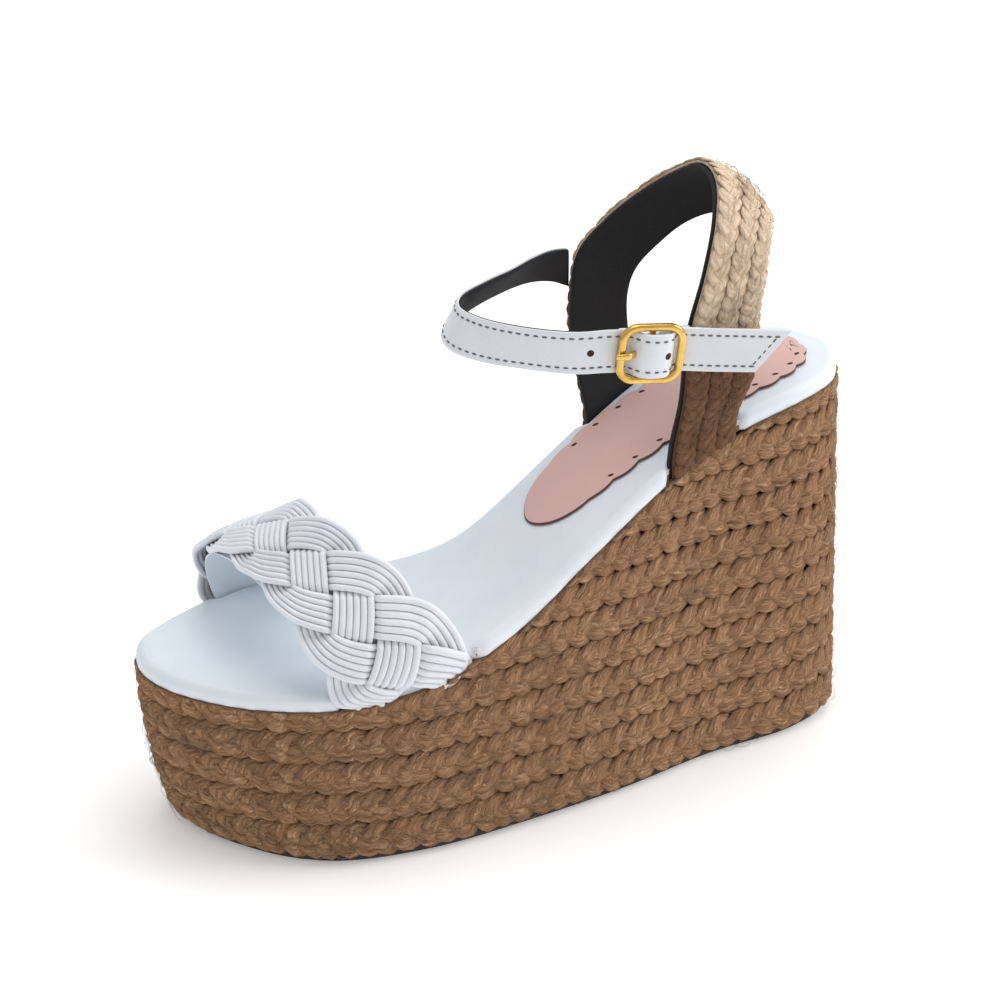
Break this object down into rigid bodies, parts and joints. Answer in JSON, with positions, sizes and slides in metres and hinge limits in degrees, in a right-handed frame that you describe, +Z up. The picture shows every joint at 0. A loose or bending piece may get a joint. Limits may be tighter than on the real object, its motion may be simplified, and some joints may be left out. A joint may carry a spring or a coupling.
{
  "type": "wedge sandal",
  "caption": "Left wedge sandal with a jute-wrapped wedge, a plaited cord vamp, a plaited heel strap and a buckled ankle strap.",
  "frame": {"origin": "on the underside of the outsole, near the middle of its length and width", "axes": "-X towards the toe, -Y towards the outer (buckle) side, +Z up"},
  "size_m": [0.2294, 0.0854, 0.1941],
  "materials": {
    "outsole_rubber": "matt",
    "core_foam": "matt foam",
    "jute_wrap": "matt plaited jute",
    "jute_strap": "matt plaited jute",
    "black_lining": "matt",
    "white_leather": "satin",
    "white_cord": "satin",
    "insole_board": "matt",
    "footbed_foam": "matt foam",
    "pink_sock": "matt",
    "gold_metal": "polished"
  },
  "bodies": {
    "sandal": {"outsole": "outsole_rubber", "wedge_core": "core_foam", "jute_course_01": "jute_wrap", "jute_course_02": "jute_wrap", "jute_course_03": "jute_wrap", "jute_course_04": "jute_wrap", "jute_course_05": "jute_wrap", "jute_course_06": "jute_wrap", "jute_course_07": "jute_wrap", "jute_course_08": "jute_wrap", "jute_course_09": "jute_wrap", "jute_course_10": "jute_wrap", "jute_course_11": "jute_wrap", "heel_strap_jute": "jute_strap", "heel_strap_lining": "black_lining", "vamp_lining": "white_leather", "vamp_strand_1": "white_cord", "vamp_strand_2": "white_cord", "vamp_strand_3": "white_cord", "vamp_strand_4": "white_cord", "insole_board": "insole_board", "footbed_foam": "footbed_foam", "footbed_cover": "white_leather", "heel_sock": "pink_sock", "buckle_chape": "white_leather"},
    "buckle_frame": {"buckle_frame": "gold_metal"},
    "buckle_prong": {"buckle_prong": "gold_metal"},
    "ankle_strap": {"ankle_strap": "white_leather", "ankle_strap_lining": "black_lining", "ankle_strap_tail": "white_leather"}
  },
  "joints": [
    {"name": "ankle_strap_swing", "type": "hinge", "parent": "sandal", "child": "ankle_strap", "pos_m": [0.0334, 0.0262, 0.1515], "axis": [-0.0933, -0.1464, 0.9848], "range_deg": [-100, 0], "deforming": ["ankle_strap_tail"]},
    {"name": "buckle_frame_turn", "type": "hinge", "parent": "sandal", "child": "buckle_frame", "pos_m": [0.0318, -0.03635, 0.1499], "axis": [0.1126, -0.0118, 0.9936], "range_deg": [-4, 4]},
    {"name": "buckle_prong_turn", "type": "hinge", "parent": "buckle_frame", "child": "buckle_prong", "pos_m": [0.0318, -0.03635, 0.1499], "axis": [0.1126, -0.0118, 0.9936], "range_deg": [0, 100]}
  ]
}
